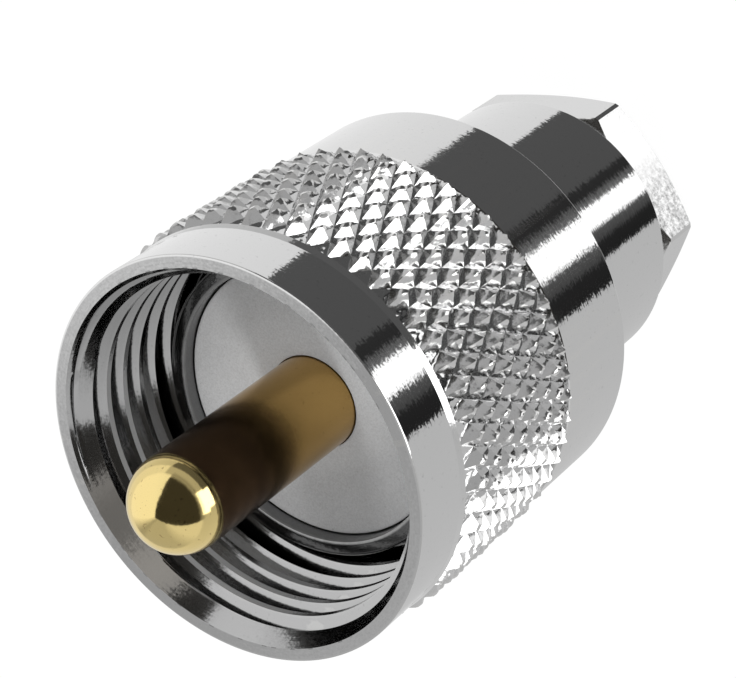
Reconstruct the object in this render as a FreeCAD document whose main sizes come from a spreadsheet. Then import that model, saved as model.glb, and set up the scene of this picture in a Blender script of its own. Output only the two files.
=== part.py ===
import FreeCAD, Part
import math
import os
import Sketcher

# UHF male plug for thin coaxial cable, clamp type, standing on its clamp nut with the pin up.
# Millimetres, +Z along the connector's axis towards the pin, origin in the middle of the rear face.

doc = FreeCAD.newDocument("uhf_connector")
sheet = doc.addObject("Spreadsheet::Sheet", "Sizes")


class Size:
    """A length together with the spreadsheet expression that gives it."""

    def __init__(self, value, text):
        self.value = value
        self.text = text

    def __add__(self, other):
        other = as_size(other)
        return Size(self.value + other.value, "(" + self.text + " + " + other.text + ")")

    def __sub__(self, other):
        other = as_size(other)
        return Size(self.value - other.value, "(" + self.text + " - " + other.text + ")")

    def __mul__(self, other):
        other = as_size(other)
        return Size(self.value * other.value, "(" + self.text + " * " + other.text + ")")

    def __truediv__(self, other):
        other = as_size(other)
        return Size(self.value / other.value, "(" + self.text + " / " + other.text + ")")


def as_size(number):
    return number if isinstance(number, Size) else Size(float(number), repr(float(number)))


def tangent(angle):
    return Size(math.tan(math.radians(angle.value)), "tan(" + angle.text + " * 1 deg)")


def cosine(angle):
    return Size(math.cos(math.radians(angle.value)), "cos(" + angle.text + " * 1 deg)")


def cell(alias, number, meaning):
    """Write one driving size into the next row of the sheet."""
    cell.row += 1
    sheet.set("A%d" % cell.row, meaning)
    sheet.set("B%d" % cell.row, str(number))
    sheet.setAlias("B%d" % cell.row, alias)
    return Size(float(number), "Sizes." + alias)


cell.row = 0
ZERO = as_size(0)

# Clearances
fit_clearance = cell("fit_clearance", 0.03, "radial clearance of pieces that are pushed together")
running_clearance = cell("running_clearance", 0.08, "radial clearance of the coupling nut on the barrel")
side_clearance = cell("side_clearance", 0.05, "play of the retaining ring between the walls of its groove")
insertion_clearance = cell("insertion_clearance", 0.15, "radial clearance of the flange inside the thread")
overcut = cell("overcut", 0.5, "how far a cutting outline runs past the surface it cuts")

# Plug body
flange_thickness = cell("flange_thickness", 2.0, "flange that the coupling nut pulls on")
flange_step = cell("flange_step", 0.85, "flange outside the barrel")
barrel_length = cell("barrel_length", 15.5, "rear barrel up to the flange")
barrel_chamfer = cell("barrel_chamfer", 0.25, "chamfer at the barrel's rear edge")
barrel_wall = cell("barrel_wall", 1.6, "wall of the barrel round the cable clamp")
ring_height = cell("ring_height", 1.6, "contact ring ahead of the flange")
ring_setback = cell("ring_setback", 0.6, "contact ring inside the flange's edge")
ring_wall = cell("ring_wall", 0.66, "wall of the contact ring")
front_bore_depth = cell("front_bore_depth", 3.1, "bore for the front insulator's disc")
clamp_step = cell("clamp_step", 0.45, "step that the cable clamp is pressed against")

# Clamp nut
hex_ledge = cell("hex_ledge", 0.8, "hexagon's flats outside the shank's thread")
hex_length = cell("hex_length", 3.4, "height of the hexagon")
hex_chamfer_angle = cell("hex_chamfer_angle", 30, "slope of the hexagon's corner chamfers")
rear_face_drop = cell("rear_face_drop", 0.75, "rear face's flat circle inside the hexagon's flats")
cable_bore_radius = cell("cable_bore_radius", 2.7, "way through the clamp nut for the cable")
cable_chamfer = cell("cable_chamfer", 0.4, "chamfer at the cable's way in")
clamp_gap = cell("clamp_gap", 0.2, "gap between the tightened clamp nut and the barrel")

# Insulators
insulator_recess = cell("insulator_recess", 0.64, "front insulator's face below the contact ring")
insulator_lip = cell("insulator_lip", 0.18, "thin lip of the front insulator over the pin's shoulder")
neck_length = cell("neck_length", 2.0, "front insulator behind its disc")
rear_insulator_length = cell("rear_insulator_length", 2.8, "rear insulator")

# Centre pin
pin_radius = cell("pin_radius", 2.0, "centre pin")
pin_shoulder_width = cell("pin_shoulder_width", 0.2, "thicker stretch locked between the insulators")
pin_reach = cell("pin_reach", 10.87, "pin tip ahead of the front insulator's face")
cup_radius = cell("cup_radius", 1.5, "solder cup")
cup_length = cell("cup_length", 6.0, "solder cup behind the thicker stretch")
cup_bore_radius = cell("cup_bore_radius", 0.65, "hole for the cable's conductor")
cup_bore_depth = cell("cup_bore_depth", 3.0, "hole for the cable's conductor")
window_width = cell("window_width", 1.0, "solder window in the side of the cup")
window_height = cell("window_height", 1.0, "solder window in the side of the cup")

# Cable clamp inside the barrel
washer_thickness = cell("washer_thickness", 0.6, "slip washer")
washer_room = cell("washer_room", 0.3, "slip washer's hole outside the cable's way")
gasket_length = cell("gasket_length", 2.8, "rubber gasket")
gasket_grip = cell("gasket_grip", 0.2, "gasket's hole inside the cable's way")
braid_flange_thickness = cell("braid_flange_thickness", 1.2, "flange of the braid clamp")
braid_nose_length = cell("braid_nose_length", 2.6, "tapered nose that the braid folds over")
braid_room = cell("braid_room", 0.4, "space for the braid round the foot of the nose")
nose_gap = cell("nose_gap", 0.6, "rear insulator ahead of the nose's tip")
braid_bore_radius = cell("braid_bore_radius", 2.0, "way through the braid clamp")

# Coupling nut
nut_length = cell("nut_length", 15.66, "coupling nut")
nut_travel = cell("nut_travel", 1.2, "play of the coupling nut along the barrel")
web_length = cell("web_length", 5.86, "thick rear part that runs on the barrel")
thread_minor_radius = cell("thread_minor_radius", 7.35, "crests of the internal thread, 5/8 inch by 24")
thread_length = cell("thread_length", 5.7, "threaded stretch behind the mouth's chamfer")
relief_depth = cell("relief_depth", 0.6, "run-out groove behind the thread, outside its crests")
mouth_chamfer = cell("mouth_chamfer", 0.7, "chamfer from the rim down to the thread's crests")
sleeve_wall = cell("sleeve_wall", 0.81, "wall of the smooth sleeve outside the run-out groove")
band_drop = cell("band_drop", 0.16, "smooth band behind the rim, below the sleeve")
band_length = cell("band_length", 2.8, "smooth band behind the rim")
rim_chamfer = cell("rim_chamfer", 0.2, "outer edge of the rim")
shoulder_length = cell("shoulder_length", 0.35, "cone from the band up to the knurl")
rear_chamfer = cell("rear_chamfer", 0.2, "rear edge of the sleeve")

# Knurl
knurl_length = cell("knurl_length", 7.75, "length of the knurled band")
knurl_depth = cell("knurl_depth", 0.42, "height of the raised pyramids")
knurl_sink = cell("knurl_sink", 0.16, "bottom of the knurl's grooves below the sleeve")
knurl_teeth = cell("knurl_teeth", 54, "pyramids round the nut")
knurl_angle = cell("knurl_angle", 28.5, "angle of the grooves to the axis")
knurl_edge_drop = cell("knurl_edge_drop", 0.03, "pyramids of the end rows below the sleeve")

# Retaining ring
snap_ring_thickness = cell("snap_ring_thickness", 0.6, "retaining ring along the axis")
snap_ring_bite = cell("snap_ring_bite", 0.4, "how far the ring reaches past the barrel on both sides")
snap_ring_gap = cell("snap_ring_gap", 40, "angle of the opening in the retaining ring")
snap_ring_setback = cell("snap_ring_setback", 2.6, "ring groove ahead of the coupling nut's rear face")
squeeze_room = cell("squeeze_room", 0.4, "barrel's groove below the ring, for squeezing it in")
groove_room = cell("groove_room", 0.12, "coupling nut's groove outside the ring")

# Radii worked out from the coupling thread, the connector's standard size
flange_radius = thread_minor_radius - insertion_clearance
ring_radius = flange_radius - ring_setback
front_bore_radius = ring_radius - ring_wall
barrel_radius = flange_radius - flange_step
clamp_bore_radius = barrel_radius - barrel_wall
inner_bore_radius = clamp_bore_radius - clamp_step
hex_flats = (clamp_bore_radius + hex_ledge) * 2
hex_corner_radius = hex_flats / 2 / cosine(as_size(30))
shank_radius = clamp_bore_radius - fit_clearance
shoulder_radius = pin_radius + pin_shoulder_width
nose_foot_radius = inner_bore_radius - braid_room
nose_tip_radius = (nose_foot_radius + braid_bore_radius) / 2
nut_bore_radius = barrel_radius + running_clearance
relief_radius = thread_minor_radius + relief_depth
mouth_radius = thread_minor_radius + mouth_chamfer
sleeve_radius = relief_radius + sleeve_wall
band_radius = sleeve_radius - band_drop
knurl_root_radius = sleeve_radius - knurl_sink
recess_radius = (relief_radius + knurl_root_radius) / 2

# Lengths worked out along the axis
barrel_rear_height = hex_length + clamp_gap
body_length = barrel_length + flange_thickness + ring_height
disc_thickness = front_bore_depth - insulator_recess
bead_length = neck_length + disc_thickness
neck_bottom = body_length - front_bore_depth - neck_length
nose_tip_height = neck_bottom - rear_insulator_length - nose_gap
clamp_bore_depth = nose_tip_height - braid_nose_length
braid_clamp_height = barrel_rear_height + clamp_bore_depth - braid_flange_thickness
gasket_height = braid_clamp_height - gasket_length
washer_height = gasket_height - washer_thickness
nut_rear_height = barrel_rear_height + barrel_length - nut_travel - web_length
snap_ring_height = nut_rear_height + snap_ring_setback + side_clearance
knurl_start = nut_length - band_length - shoulder_length - knurl_length


def new_body(name):
    body = doc.addObject("PartDesign::Body", name)
    body.Label = name
    return body


def plane_of(body, role):
    return [item for item in body.Origin.OriginFeatures if item.Role == role][0]


def sketch_on(body, role, name):
    sketch = body.newObject("Sketcher::SketchObject", name)
    sketch.AttachmentSupport = [(plane_of(body, role), "")]
    sketch.MapMode = "FlatFace"
    return sketch


def hold(sketch, geometry, end, across, up):
    """Tie one point of a sketch to the spreadsheet, measured from the sketch's origin."""
    for kind, distance, axis in (("DistanceX", across, -2), ("DistanceY", up, -1)):
        if distance is ZERO:
            sketch.addConstraint(Sketcher.Constraint("PointOnObject", geometry, end, axis))
        else:
            index = sketch.addConstraint(
                Sketcher.Constraint(kind, -1, 1, geometry, end, distance.value)
            )
            sketch.setExpression("Constraints[%d]" % index, distance.text)


def outline(sketch, points):
    """Draw a closed outline of straight lines through (across, up) points."""
    corners = [FreeCAD.Vector(across.value, up.value, 0) for across, up in points]
    first = sketch.GeometryCount
    count = len(corners)
    for i in range(count):
        sketch.addGeometry(Part.LineSegment(corners[i], corners[(i + 1) % count]))
    for i in range(count):
        following = first + (i + 1) % count
        sketch.addConstraint(Sketcher.Constraint("Coincident", first + i, 2, following, 1))
    for i in range(count):
        hold(sketch, first + i, 1, points[i][0], points[i][1])


def circle(sketch, radius):
    index = sketch.addGeometry(
        Part.Circle(FreeCAD.Vector(0, 0, 0), FreeCAD.Vector(0, 0, 1), radius.value)
    )
    sketch.addConstraint(Sketcher.Constraint("Coincident", index, 3, -1, 1))
    held = sketch.addConstraint(Sketcher.Constraint("Radius", index, radius.value))
    sketch.setExpression("Constraints[%d]" % held, radius.text)


def revolve(body, name, points):
    """Turn an outline of (radius, height) points about the body's axis."""
    sketch = sketch_on(body, "XZ_Plane", name + "_outline")
    outline(sketch, points)
    turned = body.newObject("PartDesign::Revolution", name)
    turned.Profile = sketch
    turned.ReferenceAxis = (sketch, ["V_Axis"])
    turned.Angle = 360
    doc.recompute()
    return turned


def turn_away(body, name, points):
    """Cut an outline of (radius, height) points out of the body, all round its axis."""
    before = body.Shape.Volume
    sketch = sketch_on(body, "XZ_Plane", name + "_outline")
    outline(sketch, points)
    groove = body.newObject("PartDesign::Groove", name)
    groove.Profile = sketch
    groove.ReferenceAxis = (sketch, ["V_Axis"])
    groove.Angle = 360
    doc.recompute()
    if body.Shape.Volume >= before:
        raise RuntimeError(name + " cuts nothing")


def rectangle(inner, outer, low, high):
    return [(inner, low), (outer, low), (outer, high), (inner, high)]


def round_edges(shape, radius, height):
    """Names of the circular edges of this radius at this height."""
    names = []
    for i, edge in enumerate(shape.Edges):
        curve = edge.Curve
        if not isinstance(curve, Part.Circle):
            continue
        same_radius = abs(curve.Radius - radius.value) < 0.001
        same_height = abs(curve.Center.z - height.value) < 0.001
        if same_radius and same_height:
            names.append("Edge%d" % (i + 1))
    if not names:
        raise RuntimeError("no round edge at radius %.3f" % radius.value)
    return names


def chamfer(body, name, size, radius, height):
    """Chamfer the body's circular edge of this radius at this height."""
    base = body.Tip
    cut = body.newObject("PartDesign::Chamfer", name)
    cut.Base = (base, round_edges(base.Shape, radius, height))
    cut.Size = size.value
    cut.setExpression("Size", size.text)
    doc.recompute()


def lift(item, height):
    """Place a sub-part at its height on the connector's axis."""
    item.Placement = FreeCAD.Placement(FreeCAD.Vector(0, 0, height.value), FreeCAD.Rotation())
    item.setExpression(".Placement.Base.z", height.text)


def hexagon_sketch(body, name):
    """A regular hexagon with a corner on +X, held by its distance across the flats."""
    sketch = sketch_on(body, "XY_Plane", name)
    reach = hex_corner_radius.value
    corners = [
        FreeCAD.Vector(reach * math.cos(math.pi * i / 3), reach * math.sin(math.pi * i / 3), 0)
        for i in range(6)
    ]
    for i in range(6):
        sketch.addGeometry(Part.LineSegment(corners[i], corners[(i + 1) % 6]))
    for i in range(6):
        sketch.addConstraint(Sketcher.Constraint("Coincident", i, 2, (i + 1) % 6, 1))
    guide = sketch.addGeometry(
        Part.Circle(FreeCAD.Vector(0, 0, 0), FreeCAD.Vector(0, 0, 1), reach), True
    )
    sketch.addConstraint(Sketcher.Constraint("Coincident", guide, 3, -1, 1))
    for i in range(6):
        sketch.addConstraint(Sketcher.Constraint("PointOnObject", i, 1, guide))
    for i in range(1, 6):
        sketch.addConstraint(Sketcher.Constraint("Equal", 0, i))
    sketch.addConstraint(Sketcher.Constraint("PointOnObject", 0, 1, -1))
    held = sketch.addConstraint(Sketcher.Constraint("Radius", guide, reach))
    sketch.setExpression("Constraints[%d]" % held, hex_corner_radius.text)
    return sketch


def corner_chamfer(body, name, flat_radius, face_height, inwards):
    """Turn a cone over the hexagon's corners, from a circle on one of its end faces."""
    outside = hex_corner_radius + overcut
    depth = (outside - flat_radius) * tangent(hex_chamfer_angle)
    foot = face_height + depth * inwards
    turn_away(body, name, [(flat_radius, face_height), (outside, face_height), (outside, foot)])


def make_clamp_nut():
    body = new_body("clamp_nut")
    hexagon = body.newObject("PartDesign::Pad", "hexagon")
    hexagon.Profile = hexagon_sketch(body, "hexagon_outline")
    hexagon.Length = hex_length.value
    hexagon.setExpression("Length", hex_length.text)
    doc.recompute()
    corner_chamfer(body, "rear_corner_chamfer", hex_flats / 2 - rear_face_drop, ZERO, 1)
    corner_chamfer(body, "front_corner_chamfer", hex_flats / 2, hex_length, -1)
    shank_foot = hex_length / 2
    revolve(body, "shank", rectangle(cable_bore_radius, shank_radius, shank_foot, washer_height))
    before = body.Shape.Volume
    bore_sketch = sketch_on(body, "XY_Plane", "cable_bore_outline")
    circle(bore_sketch, cable_bore_radius)
    bore = body.newObject("PartDesign::Pocket", "cable_bore")
    bore.Profile = bore_sketch
    bore.Type = "ThroughAll"
    bore.Reversed = True
    doc.recompute()
    if body.Shape.Volume >= before:
        raise RuntimeError("the cable bore cuts nothing")
    chamfer(body, "cable_bore_chamfer", cable_chamfer, cable_bore_radius, ZERO)
    return body


def make_slip_washer():
    body = new_body("slip_washer")
    hole = cable_bore_radius + washer_room
    revolve(body, "washer_disc", rectangle(hole, shank_radius, ZERO, washer_thickness))
    lift(body, washer_height)
    return body


def make_clamp_gasket():
    body = new_body("clamp_gasket")
    hole = cable_bore_radius - gasket_grip
    revolve(body, "gasket_sleeve", rectangle(hole, shank_radius, ZERO, gasket_length))
    lift(body, gasket_height)
    return body


def make_braid_clamp():
    body = new_body("braid_clamp")
    tip = braid_flange_thickness + braid_nose_length
    revolve(body, "clamp_profile", [
        (braid_bore_radius, ZERO),
        (shank_radius, ZERO),
        (shank_radius, braid_flange_thickness),
        (nose_foot_radius, braid_flange_thickness),
        (nose_tip_radius, tip),
        (braid_bore_radius, tip),
    ])
    lift(body, braid_clamp_height)
    return body


def make_plug_body():
    body = new_body("plug_body")
    flange_top = barrel_length + flange_thickness
    revolve(body, "turned_body", [
        (clamp_bore_radius, ZERO),
        (barrel_radius, ZERO),
        (barrel_radius, barrel_length),
        (flange_radius, barrel_length),
        (flange_radius, flange_top),
        (ring_radius, flange_top),
        (ring_radius, body_length),
        (front_bore_radius, body_length),
        (front_bore_radius, body_length - front_bore_depth),
        (inner_bore_radius, body_length - front_bore_depth),
        (inner_bore_radius, clamp_bore_depth),
        (clamp_bore_radius, clamp_bore_depth),
    ])
    floor = barrel_radius - snap_ring_bite - squeeze_room
    groove_bottom = snap_ring_height - barrel_rear_height - side_clearance
    groove_top = groove_bottom + snap_ring_thickness + nut_travel + side_clearance * 2
    turn_away(body, "ring_groove", rectangle(
        floor, barrel_radius + overcut, groove_bottom, groove_top
    ))
    chamfer(body, "barrel_edge_chamfer", barrel_chamfer, barrel_radius, ZERO)
    lift(body, barrel_rear_height)
    return body


def make_front_insulator():
    body = new_body("front_insulator")
    hole = shoulder_radius + fit_clearance
    lip = pin_radius + fit_clearance
    neck = inner_bore_radius - fit_clearance
    disc = front_bore_radius - fit_clearance
    revolve(body, "bead", [
        (hole, ZERO),
        (neck, ZERO),
        (neck, neck_length),
        (disc, neck_length),
        (disc, bead_length),
        (lip, bead_length),
        (lip, bead_length - insulator_lip),
        (hole, bead_length - insulator_lip),
    ])
    lift(body, barrel_rear_height + neck_bottom)
    return body


def make_rear_insulator():
    body = new_body("rear_insulator")
    outer = inner_bore_radius - fit_clearance
    hole = cup_radius + fit_clearance
    revolve(body, "bead", rectangle(hole, outer, ZERO, rear_insulator_length))
    lift(body, barrel_rear_height + neck_bottom - rear_insulator_length)
    return body


def pin_outline(sketch, tip_height):
    """Half section of the pin: solder cup, thicker stretch, shank and a round tip."""
    dome_centre = tip_height - pin_radius
    shoulder_top = cup_length + bead_length - insulator_lip
    points = [
        (ZERO, ZERO),
        (cup_radius, ZERO),
        (cup_radius, cup_length),
        (shoulder_radius, cup_length),
        (shoulder_radius, shoulder_top),
        (pin_radius, shoulder_top),
        (pin_radius, dome_centre),
    ]
    corners = [FreeCAD.Vector(across.value, up.value, 0) for across, up in points]
    for i in range(len(corners) - 1):
        sketch.addGeometry(Part.LineSegment(corners[i], corners[i + 1]))
    centre = FreeCAD.Vector(0, dome_centre.value, 0)
    ball = Part.Circle(centre, FreeCAD.Vector(0, 0, 1), pin_radius.value)
    dome = sketch.addGeometry(Part.ArcOfCircle(ball, 0, math.pi / 2))
    top = FreeCAD.Vector(0, tip_height.value, 0)
    axis = sketch.addGeometry(Part.LineSegment(top, corners[0]))
    for i in range(dome):
        sketch.addConstraint(Sketcher.Constraint("Coincident", i, 2, i + 1, 1))
    sketch.addConstraint(Sketcher.Constraint("Coincident", dome, 2, axis, 1))
    sketch.addConstraint(Sketcher.Constraint("Coincident", axis, 2, 0, 1))
    for i in range(dome):
        hold(sketch, i, 1, points[i][0], points[i][1])
    hold(sketch, dome, 1, pin_radius, dome_centre)
    hold(sketch, dome, 3, ZERO, dome_centre)
    sketch.addConstraint(Sketcher.Constraint("PointOnObject", dome, 2, -2))


def make_center_pin():
    body = new_body("center_pin")
    sketch = sketch_on(body, "XZ_Plane", "pin_outline")
    pin_outline(sketch, cup_length + bead_length + pin_reach)
    turned = body.newObject("PartDesign::Revolution", "turned_pin")
    turned.Profile = sketch
    turned.ReferenceAxis = (sketch, ["V_Axis"])
    turned.Angle = 360
    doc.recompute()
    turn_away(body, "conductor_hole", rectangle(ZERO, cup_bore_radius, ZERO, cup_bore_depth))
    before = body.Shape.Volume
    window = sketch_on(body, "XZ_Plane", "window_outline")
    half = window_width / 2
    left = ZERO - half
    low = cup_bore_depth - window_height
    outline(window, rectangle(left, half, low, cup_bore_depth))
    opening = body.newObject("PartDesign::Pocket", "solder_window")
    opening.Profile = window
    opening.Type = "Length"
    opening.Length = cup_radius.value
    opening.setExpression("Length", cup_radius.text)
    doc.recompute()
    if body.Shape.Volume >= before:
        raise RuntimeError("the solder window cuts nothing")
    lift(body, barrel_rear_height + neck_bottom - cup_length)
    return body


def make_retaining_ring():
    body = new_body("retaining_ring")
    inner = barrel_radius - snap_ring_bite
    outer = nut_bore_radius + snap_ring_bite
    sketch = sketch_on(body, "XZ_Plane", "ring_section")
    outline(sketch, rectangle(inner, outer, ZERO, snap_ring_thickness))
    ring = body.newObject("PartDesign::Revolution", "split_ring")
    ring.Profile = sketch
    ring.ReferenceAxis = (sketch, ["V_Axis"])
    ring.Angle = 360 - snap_ring_gap.value
    ring.setExpression("Angle", "360 - " + snap_ring_gap.text)
    doc.recompute()
    lift(body, snap_ring_height)
    return body


def make_nut_turning():
    """The coupling nut before it is knurled, with its rear face at height zero."""
    body = new_body("nut_turning")
    shoulder = nut_length - band_length
    knurl_end = knurl_start + knurl_length
    revolve(body, "turned_nut", [
        (nut_bore_radius, ZERO),
        (sleeve_radius, ZERO),
        (sleeve_radius, knurl_end),
        (band_radius, shoulder),
        (band_radius, nut_length),
        (mouth_radius, nut_length),
        (thread_minor_radius, nut_length - mouth_chamfer),
        (thread_minor_radius, web_length),
        (nut_bore_radius, web_length),
    ])
    relief_top = nut_length - mouth_chamfer - thread_length
    turn_away(body, "thread_relief", rectangle(
        thread_minor_radius - overcut, relief_radius, web_length, relief_top
    ))
    groove_top = snap_ring_setback + snap_ring_thickness + side_clearance * 2
    floor = nut_bore_radius + snap_ring_bite + groove_room
    turn_away(body, "ring_groove", rectangle(
        nut_bore_radius - overcut, floor, snap_ring_setback, groove_top
    ))
    chamfer(body, "outer_rim_chamfer", rim_chamfer, band_radius, nut_length)
    chamfer(body, "rear_edge_chamfer", rear_chamfer, sleeve_radius, ZERO)
    turn_away(body, "knurl_recess", rectangle(
        recess_radius, sleeve_radius + overcut, knurl_start, knurl_end
    ))
    return body


def knurl_row_count():
    """Whole rows of pyramids that come nearest to the groove angle, two to each diamond."""
    pitch = 2 * math.pi * (knurl_root_radius.value + knurl_depth.value) / knurl_teeth.value
    diamond = pitch / math.tan(math.radians(knurl_angle.value))
    return max(2, round(2 * knurl_length.value / diamond))


def knurl_point(row, place, rows):
    """A pyramid's tip or a crossing of two grooves; they take turns along and round the nut."""
    is_tip = (row + place) % 2 == 0
    on_edge = row in (0, rows)
    radius = knurl_root_radius.value
    if is_tip and on_edge:
        radius = sleeve_radius.value - knurl_edge_drop.value
    elif is_tip:
        radius += knurl_depth.value
    angle = math.pi * place / knurl_teeth.value
    height = knurl_length.value * row / rows
    return FreeCAD.Vector(radius * math.cos(angle), radius * math.sin(angle), height)


def make_knurl_band():
    """Raised-diamond knurl: four-sided pyramids between two sets of crossing grooves."""
    rows = knurl_row_count()
    places = 2 * int(knurl_teeth.value)
    grid = [[knurl_point(row, place, rows) for place in range(places)] for row in range(rows + 1)]
    faces = []
    for row in range(rows):
        for place in range(places):
            after = (place + 1) % places
            here, beside = grid[row][place], grid[row][after]
            above, across = grid[row + 1][place], grid[row + 1][after]
            if (row + place) % 2 == 0:
                halves = ((here, beside, above), (across, above, beside))
            else:
                halves = ((beside, across, here), (above, here, across))
            for a, b, c in halves:
                faces.append(Part.Face(Part.makePolygon([a, b, c, a])))
    for row in (0, rows):
        faces.append(Part.Face(Part.makePolygon(grid[row] + [grid[row][0]])))
    skin = Part.makeShell(faces)
    skin.sewShape()
    solid = Part.makeSolid(skin)
    if solid.Volume < 0:
        solid.reverse()
    band = doc.addObject("Part::Feature", "knurl_band")
    band.Shape = solid.cut(Part.makeCylinder(recess_radius.value, knurl_length.value))
    band.Placement = FreeCAD.Placement(FreeCAD.Vector(0, 0, knurl_start.value), FreeCAD.Rotation())
    return band


def make_coupling_nut():
    nut = doc.addObject("Part::Fuse", "coupling_nut")
    nut.Label = "coupling_nut"
    nut.Base = make_nut_turning()
    nut.Tool = make_knurl_band()
    doc.recompute()
    lift(nut, nut_rear_height)
    return nut


sub_parts = [
    make_clamp_nut(),
    make_slip_washer(),
    make_clamp_gasket(),
    make_braid_clamp(),
    make_plug_body(),
    make_front_insulator(),
    make_rear_insulator(),
    make_center_pin(),
    make_retaining_ring(),
    make_coupling_nut(),
]
doc.recompute()

for item in doc.Objects:
    if "Invalid" in item.State or "Error" in item.State:
        raise RuntimeError(item.Label + " did not compute")
for item in sub_parts:
    if item.Shape.isNull() or not item.Shape.isValid() or len(item.Shape.Solids) != 1:
        raise RuntimeError(item.Label + " is not one valid solid")

os.makedirs("parts", exist_ok=True)
for item in sub_parts:
    item.Shape.exportStep("parts/" + item.Label + ".step")
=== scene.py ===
import math
import random

import bmesh
import bpy
from mathutils import Matrix, Vector


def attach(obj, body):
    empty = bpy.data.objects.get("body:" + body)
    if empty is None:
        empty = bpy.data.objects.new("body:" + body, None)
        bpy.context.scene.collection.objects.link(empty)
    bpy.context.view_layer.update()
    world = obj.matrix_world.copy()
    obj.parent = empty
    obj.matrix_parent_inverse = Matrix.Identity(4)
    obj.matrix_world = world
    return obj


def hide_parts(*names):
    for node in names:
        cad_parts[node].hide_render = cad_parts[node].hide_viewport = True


# Dressed model of a UHF plug: turned nickel nut and body, gold pin, white bead.
# Lengths below are millimetres in the part's own frame, +Z along the axis towards the pin.

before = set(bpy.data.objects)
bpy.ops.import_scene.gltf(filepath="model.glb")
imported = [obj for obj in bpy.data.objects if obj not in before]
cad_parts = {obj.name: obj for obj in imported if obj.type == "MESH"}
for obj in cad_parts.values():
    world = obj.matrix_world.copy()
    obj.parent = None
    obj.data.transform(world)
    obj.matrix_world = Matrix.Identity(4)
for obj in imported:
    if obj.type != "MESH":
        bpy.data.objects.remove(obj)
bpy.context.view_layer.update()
MM = 0.001
TURN = 2 * math.pi


# Mesh making

WELD = 0.0005
# Angle in degrees above which an edge stays sharp
CREASE = 28
# A rounded corner: its steps, the flat stretch past it, and the most of a side that each may take
CORNER_STEPS = 2
CORNER_HOLD = 0.05
CORNER_SHARE = 0.4
HELD_SHARE = 0.48


def new_point(bm, radius, angle, height):
    """A point at a radius and height, at an angle round the axis."""
    return bm.verts.new((radius * math.cos(angle) * MM, radius * math.sin(angle) * MM, height * MM))


def new_ring(bm, columns, radius, height):
    """A closed row of points at one radius and height."""
    return [new_point(bm, radius, TURN * j / columns, height) for j in range(columns)]


def bridge(bm, row, following):
    """Faces between two rows. The longer row may hold a whole multiple of the shorter one's points."""
    fine, coarse = (row, following) if len(row) >= len(following) else (following, row)
    share = len(fine) // len(coarse)
    for j in range(len(coarse)):
        after = (j + 1) % len(coarse)
        edge = [fine[(j * share + k) % len(fine)] for k in range(share + 1)]
        face = edge + [coarse[after], coarse[j]]
        bm.faces.new(face if fine is row else face[::-1])


def softened(points):
    """Round the corners of an outline of (radius, height, rounding) points.

    A point on each side of a rounding keeps the straight stretches flat to their ends.
    """
    result = []
    count = len(points)
    for i, (r, z, size) in enumerate(points):
        if size == 0 or i in (0, count - 1):
            result.append((r, z))
            continue
        here = Vector((r, z))
        before = Vector(points[i - 1][:2]) - here
        after = Vector(points[i + 1][:2]) - here
        near = here + before.normalized() * min(size, before.length * CORNER_SHARE)
        far = here + after.normalized() * min(size, after.length * CORNER_SHARE)
        held = here + before.normalized() * min(size + CORNER_HOLD, before.length * HELD_SHARE)
        result.append((held.x, held.y))
        for k in range(CORNER_STEPS + 1):
            t = k / CORNER_STEPS
            spot = near * (1 - t) ** 2 + here * 2 * t * (1 - t) + far * t ** 2
            result.append((spot.x, spot.y))
        held = here + after.normalized() * min(size + CORNER_HOLD, after.length * HELD_SHARE)
        result.append((held.x, held.y))
    return result


def turn(bm, points, columns):
    """Rings for an outline of (radius, height) points, joined up. Returns the rings."""
    rings = [new_ring(bm, columns, r, z) for r, z in points]
    for row, following in zip(rings, rings[1:]):
        bridge(bm, row, following)
    return rings


def as_object(name, bm, crease=CREASE):
    """Turn the mesh into an object with smooth faces that break at edges sharper than crease."""
    bmesh.ops.remove_doubles(bm, verts=bm.verts, dist=WELD * MM)
    bmesh.ops.recalc_face_normals(bm, faces=bm.faces)
    limit = math.radians(crease)
    for face in bm.faces:
        face.smooth = True
    for edge in bm.edges:
        edge.smooth = len(edge.link_faces) == 2 and edge.calc_face_angle(0) < limit
    mesh = bpy.data.meshes.new(name)
    bm.to_mesh(mesh)
    bm.free()
    obj = bpy.data.objects.new(name, mesh)
    bpy.context.scene.collection.objects.link(obj)
    return obj


def dress(obj, finishes, body, slot, *nodes):
    """Give a piece its finishes, hang it on its body and hide the CAD pieces that it stands for."""
    for finish in finishes:
        obj.data.materials.append(finish)
    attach(obj, body)
    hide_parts(*nodes)


# Coupling nut

NUT_REAR = 12.04
NUT_FRONT = 27.7
SLEEVE = 8.76
SLEEVE_BEVEL = 0.07
BAND = 8.6
BAND_EDGE = 0.05
KNURL_START = 16.8
KNURL_END = 24.7
KNURL_ROWS = 8
KNURL_TEETH = 54
KNURL_ROOT = 8.5
KNURL_DEPTH = 0.52
KNURL_TURN = math.radians(1.1)
# How rough the cut left the knurl, and how far its first row stays under the sleeve
KNURL_TEAR = 0.018
KNURL_UNDER = 0.02
# Steps of the fine grid in half a tooth or half a row
FINE = 6
OUTER_COLUMNS = 2 * KNURL_TEETH * FINE
INNER_COLUMNS = OUTER_COLUMNS // 3
# Height of a pyramid's flank from valley to tip, one value for each step: its tip is slightly blunt
PYRAMID_SHAPE = (0.0, 0.20, 0.39, 0.58, 0.76, 0.88, 0.92)
PYRAMID_HEIGHTS = (0.95, 1.03)
HEIGHT_SEED = 5
TEAR_SEED = 11
STEP_TOLERANCE = 1e-6

THREAD_PITCH = 25.4 / 24
THREAD_CREST = 7.35
THREAD_DEPTH = 0.573
# Shares of a pitch: flat crest, each flank and flat root
THREAD_CREST_SHARE = 0.25
THREAD_FLANK_SHARE = 0.3125
THREAD_ROOT_SHARE = 0.125
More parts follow.
